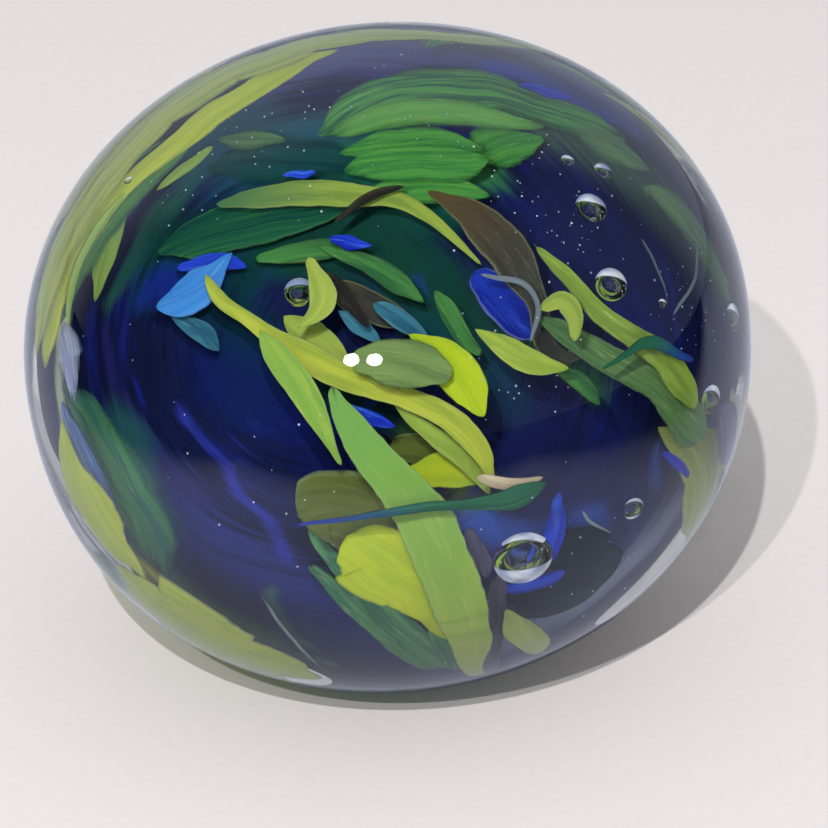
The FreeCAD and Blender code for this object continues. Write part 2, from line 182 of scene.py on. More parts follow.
class Graph:
    """A small helper that adds and joins the shader nodes of a material or a world."""

    def __init__(self, owner):
        self.owner = owner
        self.owner.use_nodes = True
        self.tree = self.owner.node_tree
        self.tree.nodes.clear()

    def feed(self, socket, value):
        if isinstance(value, bpy.types.NodeSocket):
            self.tree.links.new(value, socket)
        else:
            socket.default_value = value

    def add(self, kind, **inputs):
        """A new node. An input is a value, or another node's output socket."""
        made = self.tree.nodes.new(kind)
        for key, value in inputs.items():
            self.feed(made.inputs[key.replace("_", " ")], value)
        return made

    def math(self, operation, a, b=0.0, clamp=False):
        made = self.tree.nodes.new("ShaderNodeMath")
        made.operation = operation
        made.use_clamp = clamp
        self.feed(made.inputs[0], a)
        self.feed(made.inputs[1], b)
        return made.outputs[0]

    def vector_math(self, operation, a, b=(0, 0, 0), scale=None):
        made = self.tree.nodes.new("ShaderNodeVectorMath")
        made.operation = operation
        self.feed(made.inputs[0], a)
        self.feed(made.inputs[1], b)
        if scale is not None:
            self.feed(made.inputs["Scale"], scale)
        return made.outputs["Value" if operation in ("DOT_PRODUCT", "LENGTH") else "Vector"]

    def mix(self, share, a, b):
        """Colour a where share is 0, colour b where it is 1."""
        made = self.tree.nodes.new("ShaderNodeMix")
        made.data_type = "RGBA"
        self.feed(made.inputs["Factor"], share)
        self.feed(made.inputs[6], a)
        self.feed(made.inputs[7], b)
        return made.outputs[2]

    def mix_shader(self, share, a, b):
        made = self.tree.nodes.new("ShaderNodeMixShader")
        self.feed(made.inputs[0], share)
        self.tree.links.new(a, made.inputs[1])
        self.tree.links.new(b, made.inputs[2])
        return made.outputs[0]

    def band(self, value, low, high):
        """0 below low, 1 above high, smooth in between."""
        made = self.tree.nodes.new("ShaderNodeMapRange")
        made.interpolation_type = "SMOOTHSTEP"
        self.feed(made.inputs["Value"], value)
        self.feed(made.inputs["From Min"], low)
        self.feed(made.inputs["From Max"], high)
        return made.outputs["Result"]

    def noise(self, vector, scale, detail=3.0, roughness=0.5, distortion=0.0):
        made = self.add(
            "ShaderNodeTexNoise",
            Scale=scale,
            Detail=detail,
            Roughness=roughness,
            Distortion=distortion,
        )
        self.feed(made.inputs["Vector"], vector)
        return made.outputs["Fac"]

    def join(self, x, y, z):
        made = self.add("ShaderNodeCombineXYZ", X=x, Y=y, Z=z)
        return made.outputs["Vector"]

    def split(self, vector):
        made = self.add("ShaderNodeSeparateXYZ", Vector=vector)
        return made.outputs["X"], made.outputs["Y"], made.outputs["Z"]

    def place(self):
        """The shaded point, measured from the dome's centre."""
        at = self.add("ShaderNodeTexCoord").outputs["Object"]
        return self.vector_math("SUBTRACT", at, tuple(CENTRE))

    def finish(self, shader, output="ShaderNodeOutputMaterial"):
        out = self.tree.nodes.new(output)
        self.tree.links.new(shader, out.inputs["Surface"])
        return self.owner


def material_graph(name):
    return Graph(bpy.data.materials.new(name))


def reflected_only(g):
    """1 for a ray that has just bounced off a mirror-like surface, 0 for one that passed through it."""
    path = g.add("ShaderNodeLightPath")
    return g.math("SUBTRACT", path.outputs["Is Glossy Ray"], path.outputs["Is Transmission Ray"], clamp=True)


def swirl_coordinates(g, across=9.0, along=0.8):
    """Coordinates for long streaks: they change quickly away from the swirl's axis and slowly around it."""
    axis = direction(SWIRL_AZIMUTH, SWIRL_ELEVATION)
    side = axis.cross(Vector((0, 0, 1))).normalized()
    up = side.cross(axis).normalized()
    unit = g.vector_math("NORMALIZE", g.place())
    forward = g.vector_math("DOT_PRODUCT", unit, tuple(axis))
    sideways = g.vector_math("DOT_PRODUCT", unit, tuple(side))
    upward = g.vector_math("DOT_PRODUCT", unit, tuple(up))
    tilt = g.math("ARCCOSINE", forward)
    turn = g.math("ARCTAN2", upward, sideways)
    drift = g.math("MULTIPLY", g.math("SINE", turn), 0.12)
    return g.join(
        g.math("MULTIPLY", g.math("ADD", tilt, drift), across),
        g.math("MULTIPLY", g.math("SINE", turn), along),
        g.math("MULTIPLY", g.math("COSINE", turn), along),
    )


def body_glass(g, base, glow=0.25):
    """Glass fused inside glass: it mirrors nothing, scatters light back and lets some through.

    It is shaded as if its surface faced away from the dome's centre, so that flat strands are lit evenly."""
    outward = g.vector_math("NORMALIZE", g.place())
    matt = g.add("ShaderNodeBsdfDiffuse", Color=base, Normal=outward)
    through = g.add("ShaderNodeBsdfTranslucent", Color=base, Normal=outward)
    return g.mix_shader(glow, matt.outputs[0], through.outputs[0])


# ---------------------------------------------------------------- coloured strand glass


def strand_glass(
    name,
    deep,
    body,
    pale,
    edge=None,
    head=None,
    tail=None,
    painted_shade_side=0.0,
    feather=0.1,
    opacity=1.0,
    flow=0.7,
    fine=7.0,
    glow=0.25,
):
    """Coloured glass that runs along its strand: streaks, one side darkened with painted shade, tinted ends
    and worn edges.
    """
    g = material_graph(name)
    read = g.tree.nodes.new("ShaderNodeAttribute")
    read.attribute_name = "glass_flow"
    length, side, share = g.split(read.outputs["Vector"])
    offset = g.tree.nodes.new("ShaderNodeAttribute")
    offset.attribute_name = "glass_across"
    across = offset.outputs["Fac"]
    at = g.place()
    drawn = g.vector_math(
        "ADD",
        g.join(g.math("MULTIPLY", length, 0.07), g.math("MULTIPLY", across, 0.13 * fine), 0.0),
        g.vector_math("SCALE", at, scale=45.0),
    )
    streak = g.noise(drawn, 2.2, detail=5.0, roughness=0.6)
    broad = g.noise(g.vector_math("ADD", drawn, (7.3, 2.1, 5.2)), 0.9, detail=2.0)
    tone = g.mix(g.math("MULTIPLY", g.band(broad, 0.42, 0.62), flow), colour(body), colour(deep))
    tone = g.mix(g.math("MULTIPLY", g.band(streak, 0.54, 0.72), flow), tone, colour(pale))
    thin = g.vector_math(
        "ADD",
        g.join(g.math("MULTIPLY", length, 0.05), g.math("MULTIPLY", across, 0.36 * fine), 0.0),
        g.vector_math("SCALE", at, scale=40.0),
    )
    hair = g.noise(thin, 2.2, detail=3.0, roughness=0.6)
    tone = g.mix(g.math("MULTIPLY", g.band(hair, 0.55, 0.72), 0.6 * flow), tone, colour(pale))
    tone = g.mix(g.math("MULTIPLY", g.band(hair, 0.45, 0.28), 0.7 * flow), tone, colour(deep))
    # Painted shade: one side of the strand is darkened towards its deep tone.
    if painted_shade_side:
        shaded = g.math("ADD", g.math("MULTIPLY", side, painted_shade_side), g.math("SUBTRACT", broad, 0.5))
        tone = g.mix(g.band(shaded, -0.1, 0.8), tone, colour(deep))
    if head:
        tone = g.mix(g.math("SUBTRACT", 1.0, g.band(share, 0.0, 0.55)), tone, colour(head))
    if tail:
        tone = g.mix(g.band(share, 0.45, 1.0), tone, colour(tail))
    reach = g.math("ABSOLUTE", side)
    if edge:
        tone = g.mix(g.math("MULTIPLY", g.band(reach, 0.82, 0.97), 0.5), tone, colour(edge))
    shader = body_glass(g, tone, glow)
    if feather or opacity < 1.0:
        worn = g.math("ADD", reach, g.math("MULTIPLY", g.math("SUBTRACT", streak, 0.5), 1.6 * feather))
        fade = g.band(worn, 1.0 - feather, 1.02)
        near_end = g.math("MULTIPLY", g.math("ABSOLUTE", g.math("SUBTRACT", share, 0.5)), 2.0)
        wear = g.math("MULTIPLY", g.math("SUBTRACT", streak, 0.5), min(1.0, 3.0 * feather))
        ends = g.band(g.math("ADD", near_end, wear), 1.0 - 0.5 * feather, 1.1)
        hidden = g.math("MAXIMUM", fade, ends)
        cover = g.math("MULTIPLY", g.math("SUBTRACT", 1.0, hidden), opacity)
        clear = g.add("ShaderNodeBsdfTransparent")
        shader = g.mix_shader(cover, clear.outputs[0], shader)
    return g.finish(shader)


def painted_bubble_shine(g):
    """A painted reflection: a bright crescent on a bubble's near wall, at its top, or at its foot if the
    bubble lies low.
    """
    geometry = g.add("ShaderNodeNewGeometry")
    normal = geometry.outputs["Normal"]
    _, _, height = g.split(g.place())
    low = g.math("LESS_THAN", height, LOW_BUBBLE)
    flip = g.math("SUBTRACT", 1.0, g.math("MULTIPLY", low, 2.0))
    rise = g.math("MULTIPLY", g.vector_math("DOT_PRODUCT", normal, tuple(VIEW_UP)), flip)
    away = g.vector_math("DOT_PRODUCT", normal, tuple(VIEW_FORWARD))
    lit = g.math("ADD", g.math("MULTIPLY", rise, 0.82), g.math("MULTIPLY", away, 0.57))
    return g.math("MULTIPLY", g.band(lit, 0.02, 0.16), geometry.outputs["Backfacing"])


def casing_glass(name, dims_shadow):
    """Clear glass with true refraction. Soft light and the lamps' light pass straight through it.

    If it dims shadows, light that enters it is darkened and tinted, so the dome's shadow is coloured.
    If not, it is a bubble's wall, and shows a bright crescent of painted reflection."""
    g = material_graph(name)
    glass = g.add("ShaderNodeBsdfGlass", Roughness=0.0, IOR=1.5, Color=(0.985, 0.99, 0.99, 1))
    path = g.add("ShaderNodeLightPath")
    passed = g.add("ShaderNodeBsdfTransparent", Color=(0.97, 0.98, 0.98, 1)).outputs[0]
    if dims_shadow:
        x, _, _ = g.split(g.place())
        tint = g.mix(g.band(x, *SHADOW_LEFT), colour("5C6A38"), colour("44504C"))
        tint = g.mix(g.band(x, *SHADOW_RIGHT), tint, colour("505052"))
        entering = g.add("ShaderNodeBsdfTransparent", Color=tint).outputs[0]
        behind = g.add("ShaderNodeNewGeometry").outputs["Backfacing"]
        passed = g.mix_shader(behind, entering, passed)
    seen = glass.outputs[0]
    if not dims_shadow:
        # Painted reflection: the crescent's pale blue-white colour.
        tint = g.mix(g.band(g.noise(g.place(), 250.0), 0.4, 0.6), colour("8C9CC4"), colour("D8DEE8"))
        bright = g.add("ShaderNodeBsdfDiffuse", Color=tint)
        seen = g.mix_shader(g.math("MULTIPLY", painted_bubble_shine(g), 0.85), seen, bright.outputs[0])
    soft = g.math("MAXIMUM", path.outputs["Is Shadow Ray"], path.outputs["Is Diffuse Ray"])
    return g.finish(g.mix_shader(soft, seen, passed))


def stroke(at, path, width, softness):
    """1 on a soft-edged stroke through (azimuth, elevation) places, else 0, for each direction in a list."""
    places = [np.array(direction(*place)) for place in path]
    gap = np.full(len(at), math.inf)
    for a, b in zip(places, places[1:]):
        run = b - a
        share = np.clip((at - a) @ run / (run @ run), 0.0, 1.0)
        gap = np.minimum(gap, np.linalg.norm(at - a - share[:, None] * run, axis=1))
    beyond = np.clip((gap / width - 1.0 + softness) / (2.0 * softness), 0.0, 1.0)
    return 1.0 - beyond * beyond * (3.0 - 2.0 * beyond)


def wander(unit):
    """How far the outline of a stain or a patch of painted light strays in a direction."""
    return 0.10 * noise.noise_vector(unit * 2.3) + 0.05 * noise.noise_vector(unit * 6.1)


def stain_and_painted_light_colours(units):
    """The colour and cover of the core's stains and patches of painted light in each direction, one laid over
    the other.
    """
    noise.seed_set(STAIN_AND_PAINTED_LIGHT_SEED)
    at = units + np.array([wander(Vector(unit)) for unit in units])
    shade = np.zeros((len(units), 3))
    cover = np.zeros(len(units))
    for code, strength, width, softness, path in CORE_STAINS_AND_PAINTED_LIGHT:
        mark = strength * stroke(at, path, width, softness)
        shade = shade * (1.0 - mark)[:, None] + mark[:, None] * np.array(colour(code)[:3])
        cover = cover * (1.0 - mark) + mark
    return np.column_stack([shade / np.maximum(cover, 1e-4)[:, None], cover])


# Soft stains of colour in the core, and some patches of painted light: (colour, strength, half width,
# softness, path). The half width is a share of the core's radius, and the path is a list of (azimuth,
# elevation).
CORE_STAINS_AND_PAINTED_LIGHT = [
    # Violet-blue at the back of the top: partly the glass's own colour, partly a painted sheen of reflected
    # light.
    ("4A5088", 0.8, 0.16, 0.9, [(-119, 59), (-153, 66), (158, 65), (134, 52), (129, 33)]),
    ("2C46A8", 0.9, 0.08, 0.9, [(128, 60), (120, 53), (118, 42), (121, 30)]),
    # Painted reflection: lighter blue-violet haze low on the core, in this stroke and the next.
    ("222E74", 0.8, 0.34, 0.8, [(-52, -26), (-30, -46), (0, -60), (30, -62)]),
    ("2A3270", 0.7, 0.30, 0.8, [(24, -30), (48, -38), (76, -26)]),
    ("24564C", 0.7, 0.06, 0.9, [(-80, 50), (-76, 40), (-74, 30), (-73, 18)]),
    ("1A4A5C", 0.9, 0.20, 0.8, [(-91, 55), (-68, 65), (-33, 70), (-2, 68)]),
    ("306C44", 0.8, 0.12, 0.8, [(-10, 66), (20, 66), (46, 63)]),
    ("144C40", 0.9, 0.10, 0.9, [(-30, 60), (0, 58), (22, 54)]),
    ("0C3C34", 0.9, 0.16, 0.8, [(-62, 34), (-45, 45), (-21, 52)]),
    ("0A2C38", 0.9, 0.16, 0.8, [(-43, 32), (-33, 26), (-25, 21)]),
    ("103830", 0.9, 0.15, 0.8, [(-17, 50), (4, 45), (16, 35), (19, 27)]),
    ("141E80", 0.7, 0.07, 0.9, [(-59, 28), (-51, 29), (-49, 36)]),
    ("1C228C", 0.9, 0.022, 0.8, [(-61, 14), (-56, 8), (-52, 5)]),
    ("24308C", 0.8, 0.030, 0.9, [(-46, 8), (-33, 0), (-22, -13), (-21, -41)]),
    ("0E1850", 0.8, 0.13, 0.9, [(-36, 17), (-24, 16), (-15, 12), (-8, 0)]),
    ("062420", 0.9, 0.07, 0.9, [(-14, 20), (-6, 14), (2, 6)]),
    ("4C6830", 0.8, 0.07, 0.9, [(4, 4), (12, 1), (16, -6)]),
    ("20205C", 0.7, 0.05, 0.9, [(-69, 12), (-59, 1), (-49, -6), (-37, -14)]),
    ("2C6464", 0.8, 0.12, 0.9, [(-59, -7), (-57, -21), (-68, -41)]),
    ("3A6450", 0.8, 0.12, 0.9, [(-70, -47), (-63, -54), (-61, -64)]),
    ("4A7068", 0.8, 0.025, 0.9, [(-32, -42), (-33, -58), (-51, -76)]),
    ("345848", 0.7, 0.13, 0.9, [(93, 54), (97, 40), (100, 22), (104, 6)]),
    ("2C6040", 0.7, 0.05, 0.9, [(30, 26), (40, 18), (50, 8)]),
    ("0E3A44", 0.7, 0.08, 0.9, [(10, 30), (20, 22), (28, 12)]),
    ("18247C", 0.8, 0.09, 0.9, [(61, 21), (66, 14)]),
    ("141C48", 0.7, 0.25, 0.8, [(61, 37), (72, 27), (80, 16)]),
    ("141A46", 0.7, 0.20, 0.8, [(31, 2), (44, -8), (54, -20)]),
    ("2C50A8", 0.8, 0.07, 0.9, [(20, -12), (27, -20), (36, -24), (46, -22)]),
    ("3450A0", 0.7, 0.03, 0.9, [(54, -6), (62, -12), (66, -20)]),
    # Painted light: pale grey-lilac low at the right, the paper as seen through clear glass.
    ("7C84A0", 0.8, 0.10, 0.9, [(20, -68), (44, -60), (66, -46), (80, -30)]),
    # Painted highlight: a pale streak along the left edge.
    ("A8B8A4", 0.8, 0.06, 0.9, [(-94, 10), (-86, -12), (-76, -28)]),
]


def cobalt_glass():
    """The dark core: navy, with cobalt streaks along the swirl, soft stains of other colours and some patches
    of painted light.
    """
    g = material_graph("cobalt_glass")
    streak = g.noise(swirl_coordinates(g, across=5.0), 1.6, detail=5.0, roughness=0.6)
    fine = g.noise(swirl_coordinates(g, across=16.0), 2.0, detail=5.0, roughness=0.62)
    wide = g.noise(g.place(), 60.0, detail=3.0)
    tone = g.mix(g.band(wide, 0.38, 0.62), colour("0F1638"), colour("151D4A"))
    tone = g.mix(g.math("MULTIPLY", g.band(streak, 0.50, 0.68), 0.8), tone, colour("161E6A"))
    tone = g.mix(g.math("MULTIPLY", g.band(fine, 0.56, 0.74), 0.6), tone, colour("202E8C"))
    tone = g.mix(g.math("MULTIPLY", g.band(fine, 0.48, 0.34), 0.6), tone, colour("0A1024"))
    # The stain attribute holds the stains and the patches of painted light.
    stain = g.tree.nodes.new("ShaderNodeAttribute")
    stain.attribute_name = "stain"
    worn = g.math("MULTIPLY", g.math("SUBTRACT", fine, 0.5), 1.1)
    cover = g.band(g.math("ADD", stain.outputs["Alpha"], worn), 0.12, 0.88)
    tone = g.mix(cover, tone, stain.outputs["Color"])
    tone = g.mix(g.math("MULTIPLY", g.band(streak, 0.60, 0.72), 0.35), tone, colour("24368C"))
    tone = g.mix(g.math("MULTIPLY", g.band(streak, 0.44, 0.34), 0.35), tone, colour("0A1024"))
    return g.finish(body_glass(g, tone, 0.0))


def painted_seed_glints():
    """The finest air bubbles, drawn as pale specks: painted glints in the clear glass."""
    g = material_graph("painted_seed_glints")
    tint = g.noise(g.place(), 300.0)
    return g.finish(body_glass(g, g.mix(g.band(tint, 0.4, 0.6), colour("9FB2D8"), colour("E6EAF0")), 0.3))


def paper_floor():
    """Pale paper. In the dome's mirror it is tinted, and it ends a hand's width away."""
    g = material_graph("pale_paper")
    at = g.add("ShaderNodeTexCoord").outputs["Object"]
    grain = g.noise(at, 900.0, detail=2.0)
    tone = g.mix(g.band(grain, 0.3, 0.7), colour("ECE8E8"), colour("EEEAEA"))
    x, y, _ = g.split(at)
    behind = g.math("MULTIPLY", g.math("MAXIMUM", y, 0.0), PAPER_WIDENING)
    aside = g.math("SUBTRACT", g.math("ABSOLUTE", x), behind)
    outside = g.math(
        "MAXIMUM",
        g.band(aside, *PAPER_SIDES),
        g.band(g.math("MULTIPLY", y, -1.0), *PAPER_FRONT),
    )
    mirrored = reflected_only(g)
    tone = g.mix(mirrored, tone, MIRRORED_PAPER)
    tone = g.mix(g.math("MULTIPLY", outside, mirrored), tone, MIRRORED_PAPER_END)
    return g.finish(g.add("ShaderNodeBsdfDiffuse", Color=tone).outputs[0])


# ---------------------------------------------------------------- reading the frame


def weld(obj):
    """(points, edges) of a CAD mesh, with the points that lie on each other joined."""
    mesh = obj.data
    points = np.empty(len(mesh.vertices) * 3)
    mesh.vertices.foreach_get("co", points)
    points = points.reshape(-1, 3)
    edges = np.empty(len(mesh.edges) * 2, dtype=np.int64)
    mesh.edges.foreach_get("vertices", edges)
    grid = np.round(points / WELD).astype(np.int64) + (1 << 20)
    key = (grid[:, 0] << 42) + (grid[:, 1] << 21) + grid[:, 2]
    _, first, index = np.unique(key, return_index=True, return_inverse=True)
    return points[first], index.reshape(-1)[edges.reshape(-1, 2)]


def component_labels(count, edges):
    """A number for each point, equal for points that are joined by edges."""
    label = np.arange(count)
    while True:
        low = np.minimum(label[edges[:, 0]], label[edges[:, 1]])
        joined = label.copy()
        np.minimum.at(joined, edges[:, 0], low)
        np.minimum.at(joined, edges[:, 1], low)
        joined = joined[joined]
        if (joined == label).all():
            return label
        label = joined


def separate(obj):
    """(points, edges) of each closed surface in a CAD mesh."""
    points, edges = weld(obj)
    label = component_labels(len(points), edges)
    order = np.argsort(label, kind="stable")
    starts = np.flatnonzero(np.diff(label[order], prepend=-1))
    local = np.empty(len(points), dtype=np.int64)
    found = []
    for members in np.split(order, starts[1:]):
        local[members] = np.arange(len(members))
        own = edges[label[edges[:, 0]] == label[members[0]]] if len(starts) < 40 else None
        found.append((points[members], None if own is None else local[own]))
    return found


def bubble_places():
    """(centre, radius) of the round air cavities in the CAD casing, largest first."""
    places = []
    for points, _ in separate(frame["nodes"]["clear_casing"]):
        low, high = points.min(axis=0), points.max(axis=0)
        sides = high - low
        if sides.max() < LARGEST_BUBBLE and sides.max() - sides.min() < 0.05 * sides.max():
            places.append((Vector((low + high) / 2), sides.max() / 2))
    return sorted(places, key=lambda place: -place[1])


def walk(links, start):
    """Distance from the start to each cell along the strand's surface."""
    far = {start: 0.0}
    queue = [(0.0, start)]
    while queue:
        here_far, here = heapq.heappop(queue)
        if here_far > far[here]:
            continue
        for other, step in links[here]:
            reach = here_far + step
            if reach < far.get(other, math.inf):
                far[other] = reach
                heapq.heappush(queue, (reach, other))
    return np.array([far.get(i, 0.0) for i in range(len(links))])


def trace_strand(points, edges):
    """The middle line, half widths and layer radius of one CAD strand, from its upper to its lower tip."""
    flat = (points - np.array(CENTRE)) / SQUASH
    grid = np.floor(flat / CELL).astype(np.int64) + (1 << 10)
    key = (grid[:, 0] << 24) + (grid[:, 1] << 12) + grid[:, 2]
    _, cell = np.unique(key, return_inverse=True)
    cell = cell.reshape(-1)
    count = cell.max() + 1
    size = np.bincount(cell, minlength=count)[:, None]
    middle = np.stack([np.bincount(cell, flat[:, k], count) for k in range(3)], axis=1) / size
    pairs = np.unique(np.sort(cell[edges], axis=1), axis=0)
    links = [[] for _ in range(count)]
    for a, b in pairs:
        if a != b:
            step = float(np.linalg.norm(middle[a] - middle[b]))
            links[a].append((b, step))
            links[b].append((a, step))
    tip = int(np.argmax(walk(links, 0)))
    from_tip = walk(links, tip)
    other = int(np.argmax(from_tip))
    from_other = walk(links, other)
    if middle[tip][2] < middle[other][2]:
        tip, other, from_tip, from_other = other, tip, from_other, from_tip
    share = (from_tip / (from_tip + from_other))[cell]
    radius = float(np.linalg.norm(flat, axis=1).mean())
    steps = max(4, round(from_tip[other] / TRACE_STEP))
    slot = np.minimum((share * steps).astype(int), steps - 1)
    held = np.bincount(slot, minlength=steps)
    line = np.stack([np.bincount(slot, flat[:, k], steps) for k in range(3)], axis=1)
    line = line[held > 0] / held[held > 0, None]
    line = np.vstack([middle[tip], line, middle[other]])
    for _ in range(2):
        line[1:-1] = 0.25 * line[:-2] + 0.5 * line[1:-1] + 0.25 * line[2:]
    line /= np.linalg.norm(line, axis=1)[:, None]
    for end, inner in ((0, 1), (-1, -2)):
        outward = line[end] - line[inner]
        line[end] += outward / np.linalg.norm(outward) * TIP_REACH / radius
    ahead = np.gradient(line, axis=0)
    across = np.cross(line, ahead)
    across /= np.linalg.norm(across, axis=1)[:, None]
    unit = flat / np.linalg.norm(flat, axis=1)[:, None]
    nearest = np.argmax(unit @ line.T, axis=1)
    aside = np.abs(np.einsum("ij,ij->i", unit, across[nearest]))
    width = np.array([aside[nearest == k].max(initial=0.0) for k in range(len(line))])
    width[0], width[-1] = 0.6 * width[1], 0.6 * width[-2]
    width[1:-1] = 0.25 * width[:-2] + 0.5 * width[1:-1] + 0.25 * width[2:]
    return line, width * radius, radius


def resample(line, width, radius):
    """The same strand with close, even stations: a Catmull-Rom curve through its traced line."""
    padded = np.vstack([2 * line[0] - line[1], line, 2 * line[-1] - line[-2]])
    lengths = np.linalg.norm(np.diff(line, axis=0), axis=1) * radius
    total = lengths.sum()
    count = max(8, int(total / STATION_STEP))
    marks = np.concatenate([[0.0], np.cumsum(lengths)])
    run = np.linspace(0.0, total, count)
    span = np.clip(np.searchsorted(marks, run, side="right") - 1, 0, len(lengths) - 1)
    t = ((run - marks[span]) / lengths[span])[:, None]
    p0, p1, p2, p3 = (padded[span + k] for k in range(4))
    slope = (p2 - p0) * t
    bend = (2 * p0 - 5 * p1 + 4 * p2 - p3) * t**2
    twist = (3 * p1 - p0 - 3 * p2 + p3) * t**3
    curve = 0.5 * (2 * p1 + slope + bend + twist)
    curve /= np.linalg.norm(curve, axis=1)[:, None]
    return curve, np.interp(run, marks, width), run


def ripple(run, draw, height, shortest):
    """A smooth random wobble along a strand, made of three waves."""
    total = np.zeros_like(run)
    for wave in (1.0, 2.3, 4.1):
        phase = draw.uniform(0, 2 * math.pi)
        total += math.sqrt(1 / wave) * np.sin(run * wave * 2 * math.pi / (4.1 * shortest) + phase)
    return height * total / 2.0


def ribbon_surface(line, width, radius, draw, round_ended):
    """(points, faces, flow, millimetres across) of one strand, drawn as a closed, uneven ribbon."""
    unit, half, run = resample(line, width, radius)
    ahead = np.gradient(unit, axis=0)
    across = np.cross(unit, ahead)
    across /= np.linalg.norm(across, axis=1)[:, None]
    total = run[-1]
    tip = np.minimum(run, total - run)
    sharpness = np.where(run < 0.5 * total, draw.uniform(*TIP_LENGTHS), draw.uniform(*TIP_LENGTHS))
    if round_ended:
        sharpness = ROUND_TIP_LENGTH
    taper = np.clip(tip / np.maximum(sharpness * half, 0.6 * MM), 0.0, 1.0)
    half = half * (TIP_WIDTH + (1 - TIP_WIDTH) * np.sin(0.5 * math.pi * taper) ** 0.8)
    turn = np.arange(RING) * 2 * math.pi / RING
    side = np.sign(np.cos(turn)) * np.abs(np.cos(turn)) ** 0.85
    sway = ripple(run, draw, SWAY, SWAY_LENGTH)
    left = half * (1 + sway + ripple(run, draw, RAGGED, RAGGED_LENGTH))
    right = half * (1 - sway + ripple(run, draw, RAGGED, RAGGED_LENGTH))
    reach = np.where(side[None, :] > 0, left[:, None], right[:, None]) * side[None, :] / radius
    thick = np.minimum(THICKNESS, THICKNESS_TO_WIDTH * half)[:, None]
    lift = ripple(run, draw, LIFT, LIFT_LENGTH)[:, None]
    layer = radius + thick * np.sin(turn)[None, :] + lift
    spread = unit[:, None, :] * np.cos(reach)[:, :, None] + across[:, None, :] * np.sin(reach)[:, :, None]
    points = np.array(CENTRE) + spread * layer[:, :, None] * SQUASH
    across_mm = reach * radius / MM + draw.uniform(*STREAK_STARTS)
    flow = np.empty((len(run), RING, 3))
    flow[:, :, 0] = (run / MM)[:, None]
    flow[:, :, 1] = side[None, :]
    flow[:, :, 2] = (run / total)[:, None]
    faces = []
    for i in range(len(run) - 1):
        for j in range(RING):
            k = (j + 1) % RING
            faces.append((i * RING + j, i * RING + k, (i + 1) * RING + k, (i + 1) * RING + j))
    faces.append(tuple(reversed(range(RING))))
    faces.append(tuple(range((len(run) - 1) * RING, len(run) * RING)))
    return points.reshape(-1, 3), faces, flow.reshape(-1, 3), across_mm.reshape(-1)


# ---------------------------------------------------------------- pieces


def new_piece(name, mesh, node=None):
    for polygon in mesh.polygons:
        polygon.use_smooth = True
    obj = bpy.data.objects.new(name, mesh)
    bpy.context.scene.collection.objects.link(obj)
    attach(obj, "root")
    if node:
        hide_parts(node)
    return obj


def make_strands(node, material):
    """One CAD node's strands, drawn again as uneven ribbons in the same places."""
    draw = random.Random(node)
    spread = SPREADS.get(node, DEFAULT_SPREAD)
    all_points, all_faces, all_flow, all_across = [], [], [], []
    base = 0
    for points, edges in separate(frame["nodes"][node]):
        line, width, radius = trace_strand(points, edges)
        got, faces, flow, across = ribbon_surface(line, width * spread, radius, draw, node in ROUND_ENDED)
        all_points.append(got)
        all_faces += [tuple(v + base for v in face) for face in faces]
        all_flow.append(flow)
        all_across.append(across)
        base += len(got)
    mesh = bpy.data.meshes.new(node + "_glass")
    mesh.from_pydata(np.vstack(all_points).tolist(), [], all_faces)
    attribute = mesh.attributes.new("glass_flow", "FLOAT_VECTOR", "POINT")
    attribute.data.foreach_set("vector", np.vstack(all_flow).astype(np.float32).reshape(-1))
    attribute = mesh.attributes.new("glass_across", "FLOAT", "POINT")
    attribute.data.foreach_set("value", np.concatenate(all_across).astype(np.float32))
    mesh.materials.append(material)
    bm = bmesh.new()
    bm.from_mesh(mesh)
    bmesh.ops.recalc_face_normals(bm, faces=bm.faces)
    bm.to_mesh(mesh)
    bm.free()
    return new_piece(node + "_glass", mesh, node)


def dome_reach(unit):
    """Distance from the centre to the dome's surface along a unit vector, before the flat base is cut."""
    c, s = math.cos(DOME_LEAN), math.sin(DOME_LEAN)
    x = unit[0] * c + unit[2] * s
    z = -unit[0] * s + unit[2] * c
    high = z > 0
    height = DOME_UPPER_HEIGHT if high else DOME_LOWER_HEIGHT
    power = DOME_UPPER_POWER if high else DOME_LOWER_POWER
    level = (math.hypot(x, unit[1]) / DOME_RADIUS) ** power + (abs(z) / height) ** power
    return level ** (-1.0 / power)


def base_edge_elevation(azimuth):
    """The elevation at which the dome's surface meets the table, in radians."""
    low, high = -0.5 * math.pi, 0.0
    for _ in range(40):
        middle = 0.5 * (low + high)
        unit = direction(azimuth, math.degrees(middle))
        if CENTRE.z + unit.z * dome_reach(unit) < 0:
            low = middle
        else:
            high = middle
    return high


def dome_spokes():
    """Points from the top of the dome down to the base edge, then across the flat base, for each azimuth."""
    spokes = []
    for j in range(DOME_SPOKES):
        azimuth = 360.0 * j / DOME_SPOKES
        edge = base_edge_elevation(azimuth)
        spoke = []
        for i in range(1, DOME_RINGS + 1):
            elevation = 0.5 * math.pi + (edge - 0.5 * math.pi) * i / DOME_RINGS
            unit = direction(azimuth, math.degrees(elevation))
            spoke.append(CENTRE + unit * dome_reach(unit))
        foot = spoke[-1].copy()
        for i in range(1, BASE_RINGS):
            spoke.append(Vector((CENTRE.x, CENTRE.y, 0)).lerp(foot, 1 - i / BASE_RINGS))
        spokes.append(spoke)
    return spokes


